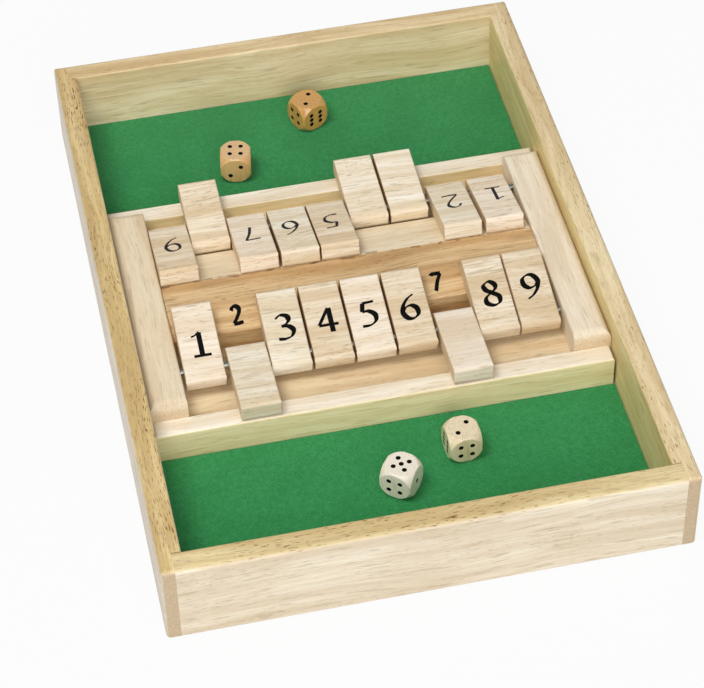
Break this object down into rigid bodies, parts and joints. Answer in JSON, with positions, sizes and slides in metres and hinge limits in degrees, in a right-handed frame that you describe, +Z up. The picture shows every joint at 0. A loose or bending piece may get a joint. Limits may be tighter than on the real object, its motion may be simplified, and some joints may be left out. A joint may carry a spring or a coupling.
{
  "type": "shut the box game",
  "caption": "Shallow open wooden box with a felt-lined dice tray at each end and facing rows of numbered flaps that turn on rods beside a bevelled centre ridge.",
  "frame": {"origin": "middle of the box at the surface it stands on", "axes": "+X along the flap rows, to the right of the near player; +Y towards the far player; +Z up"},
  "size_m": [0.22, 0.315, 0.04],
  "materials": {
    "wall_wood": "clear-lacquered pale hardwood with short dark flecks",
    "panel_wood": "bare plywood",
    "deck_wood": "clear-lacquered tan hardwood, straight grain",
    "divider_wood": "clear-lacquered pale hardwood",
    "rail_wood": "clear-lacquered cream hardwood",
    "flap_wood": "smooth cream hardwood, eased edges",
    "felt": "short-nap green felt",
    "steel": "bright drawn rod",
    "pale_die_wood": "polished pale wood",
    "dark_die_wood": "varnished golden wood",
    "ink": "matte black printing ink and pip paint"
  },
  "bodies": {
    "box": {"near_board": "wall_wood", "far_board": "wall_wood", "left_board": "wall_wood", "right_board": "wall_wood", "bottom_panel": "panel_wood", "near_felt": "felt", "far_felt": "felt", "deck_board": "deck_wood", "near_divider": "divider_wood", "far_divider": "divider_wood", "left_rail": "rail_wood", "right_rail": "rail_wood", "centre_ridge": "deck_wood", "far_slope": "divider_wood", "near_rod": "steel", "far_rod": "steel"},
    "near_flap_1": {"near_flap_1": "flap_wood"},
    "near_flap_2": {"near_flap_2": "flap_wood"},
    "near_flap_3": {"near_flap_3": "flap_wood"},
    "near_flap_4": {"near_flap_4": "flap_wood"},
    "near_flap_5": {"near_flap_5": "flap_wood"},
    "near_flap_6": {"near_flap_6": "flap_wood"},
    "near_flap_7": {"near_flap_7": "flap_wood"},
    "near_flap_8": {"near_flap_8": "flap_wood"},
    "near_flap_9": {"near_flap_9": "flap_wood"},
    "far_flap_1": {"far_flap_1": "flap_wood"},
    "far_flap_2": {"far_flap_2": "flap_wood"},
    "far_flap_3": {"far_flap_3": "flap_wood"},
    "far_flap_4": {"far_flap_4": "flap_wood"},
    "far_flap_5": {"far_flap_5": "flap_wood"},
    "far_flap_6": {"far_flap_6": "flap_wood"},
    "far_flap_7": {"far_flap_7": "flap_wood"},
    "far_flap_8": {"far_flap_8": "flap_wood"},
    "far_flap_9": {"far_flap_9": "flap_wood"},
    "near_die_1": {"near_die_1": "pale_die_wood"},
    "near_die_2": {"near_die_2": "pale_die_wood"},
    "far_die_1": {"far_die_1": "dark_die_wood"},
    "far_die_2": {"far_die_2": "dark_die_wood"}
  },
  "joints": [
    {"name": "near_flap_1_turn", "type": "hinge", "parent": "box", "child": "near_flap_1", "pos_m": [0, -0.04059, 0.02748], "axis": [1, 0, 0], "range_deg": [0, 163.8]},
    {"name": "near_flap_2_turn", "type": "hinge", "parent": "box", "child": "near_flap_2", "pos_m": [0, -0.04059, 0.02748], "axis": [1, 0, 0], "range_deg": [-163.8, 0]},
    {"name": "near_flap_3_turn", "type": "hinge", "parent": "box", "child": "near_flap_3", "pos_m": [0, -0.04059, 0.02748], "axis": [1, 0, 0], "range_deg": [0, 163.8]},
    {"name": "near_flap_4_turn", "type": "hinge", "parent": "box", "child": "near_flap_4", "pos_m": [0, -0.04059, 0.02748], "axis": [1, 0, 0], "range_deg": [0, 163.8]},
    {"name": "near_flap_5_turn", "type": "hinge", "parent": "box", "child": "near_flap_5", "pos_m": [0, -0.04059, 0.02748], "axis": [1, 0, 0], "range_deg": [0, 163.8]},
    {"name": "near_flap_6_turn", "type": "hinge", "parent": "box", "child": "near_flap_6", "pos_m": [0, -0.04059, 0.02748], "axis": [1, 0, 0], "range_deg": [0, 163.8]},
    {"name": "near_flap_7_turn", "type": "hinge", "parent": "box", "child": "near_flap_7", "pos_m": [0, -0.04059, 0.02748], "axis": [1, 0, 0], "range_deg": [-163.8, 0]},
    {"name": "near_flap_8_turn", "type": "hinge", "parent": "box", "child": "near_flap_8", "pos_m": [0, -0.04059, 0.02748], "axis": [1, 0, 0], "range_deg": [0, 163.8]},
    {"name": "near_flap_9_turn", "type": "hinge", "parent": "box", "child": "near_flap_9", "pos_m": [0, -0.04059, 0.02748], "axis": [1, 0, 0], "range_deg": [0, 163.8]},
    {"name": "far_flap_1_turn", "type": "hinge", "parent": "box", "child": "far_flap_1", "pos_m": [0, 0.04, 0.02748], "axis": [-1, 0, 0], "range_deg": [0, 163.2]},
    {"name": "far_flap_2_turn", "type": "hinge", "parent": "box", "child": "far_flap_2", "pos_m": [0, 0.04, 0.02748], "axis": [-1, 0, 0], "range_deg": [0, 163.2]},
    {"name": "far_flap_3_turn", "type": "hinge", "parent": "box", "child": "far_flap_3", "pos_m": [0, 0.04, 0.02748], "axis": [-1, 0, 0], "range_deg": [-163.2, 0]},
    {"name": "far_flap_4_turn", "type": "hinge", "parent": "box", "child": "far_flap_4", "pos_m": [0, 0.04, 0.02748], "axis": [-1, 0, 0], "range_deg": [-163.2, 0]},
    {"name": "far_flap_5_turn", "type": "hinge", "parent": "box", "child": "far_flap_5", "pos_m": [0, 0.04, 0.02748], "axis": [-1, 0, 0], "range_deg": [0, 163.2]},
    {"name": "far_flap_6_turn", "type": "hinge", "parent": "box", "child": "far_flap_6", "pos_m": [0, 0.04, 0.02748], "axis": [-1, 0, 0], "range_deg": [0, 163.2]},
    {"name": "far_flap_7_turn", "type": "hinge", "parent": "box", "child": "far_flap_7", "pos_m": [0, 0.04, 0.02748], "axis": [-1, 0, 0], "range_deg": [0, 163.2]},
    {"name": "far_flap_8_turn", "type": "hinge", "parent": "box", "child": "far_flap_8", "pos_m": [0, 0.04, 0.02748], "axis": [-1, 0, 0], "range_deg": [-163.2, 0]},
    {"name": "far_flap_9_turn", "type": "hinge", "parent": "box", "child": "far_flap_9", "pos_m": [0, 0.04, 0.02748], "axis": [-1, 0, 0], "range_deg": [0, 163.2]},
    {"name": "near_die_1_lift", "type": "slide", "parent": "box", "child": "near_die_1", "axis": [0, 0, 1], "range_m": [0, 0.06]},
    {"name": "near_die_2_lift", "type": "slide", "parent": "box", "child": "near_die_2", "axis": [0, 0, 1], "range_m": [0, 0.06]},
    {"name": "far_die_1_lift", "type": "slide", "parent": "box", "child": "far_die_1", "axis": [0, 0, 1], "range_m": [0, 0.06]},
    {"name": "far_die_2_lift", "type": "slide", "parent": "box", "child": "far_die_2", "axis": [0, 0, 1], "range_m": [0, 0.06]}
  ]
}
